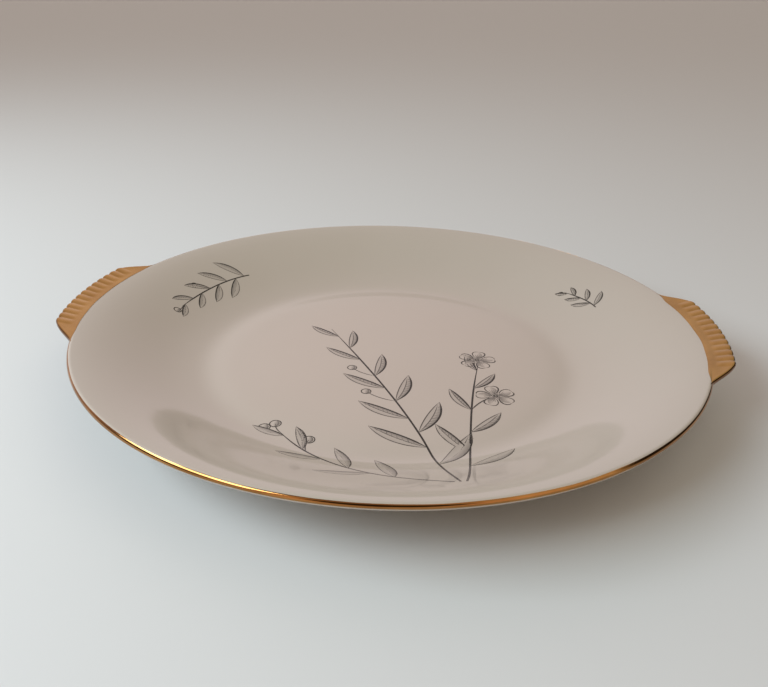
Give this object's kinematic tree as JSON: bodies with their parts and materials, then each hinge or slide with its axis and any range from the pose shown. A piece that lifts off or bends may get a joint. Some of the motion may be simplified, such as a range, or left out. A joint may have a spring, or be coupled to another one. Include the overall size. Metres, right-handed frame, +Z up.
{
  "type": "handled platter",
  "caption": "Round ivory porcelain platter with a flat well, a sloping flange, a foot ring and ribbed gilded ear handles, for serving cake or food at table.",
  "frame": {"origin": "on the table, under the middle of the dish", "axes": "+X through the right handle, +Y to the back of the dish as seen in the picture, +Z up"},
  "size_m": [0.2968, 0.2804, 0.0307],
  "materials": {
    "glaze": "glossy ivory glaze",
    "biscuit": "unglazed, ground flat",
    "satin_gold": "satin on-glaze gold",
    "bright_gold": "polished on-glaze gold"
  },
  "bodies": {
    "root": {"dish_body": "glaze", "foot_ring": "biscuit", "handle_right": "glaze", "handle_left": "glaze", "handle_gilding_right": "satin_gold", "handle_gilding_left": "satin_gold", "rim_line_back": "bright_gold", "rim_line_front": "bright_gold"}
  },
  "joints": []
}
